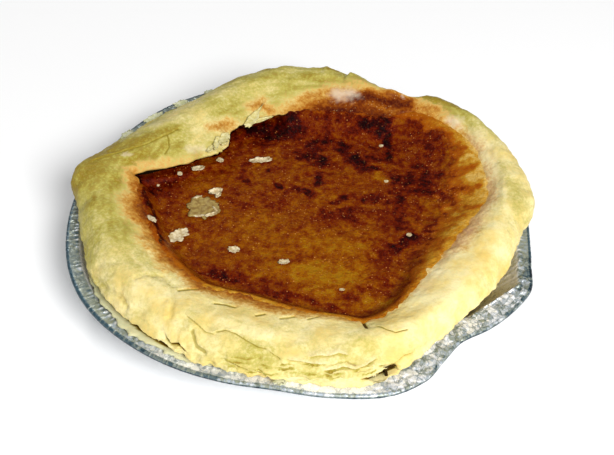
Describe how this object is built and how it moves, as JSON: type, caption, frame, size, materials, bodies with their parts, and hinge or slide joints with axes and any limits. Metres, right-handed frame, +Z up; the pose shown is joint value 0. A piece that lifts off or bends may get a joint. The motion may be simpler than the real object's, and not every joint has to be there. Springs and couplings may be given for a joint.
{
  "type": "bakewell pudding",
  "caption": "Open puff pastry case with a browned egg and almond filling, in its own crimped foil dish.",
  "frame": {"origin": "centre of the dish's flat underside", "axes": "+Z up through the pudding; -Y towards the low layered front, +X to the right of it"},
  "size_m": [0.1635, 0.1641, 0.0372],
  "materials": {
    "foil": "thin bright aluminium foil, crimped and crumpled at its rolled edge",
    "pastry": "baked puff pastry, pale yellow, matt and flaky, tan to brown beside the filling",
    "filling": "baked egg and almond filling, grainy and slightly glossy, mottled amber to dark red-brown"
  },
  "bodies": {
    "root": {"foil_dish": "foil", "pastry_case": "pastry", "filling": "filling"}
  },
  "joints": []
}
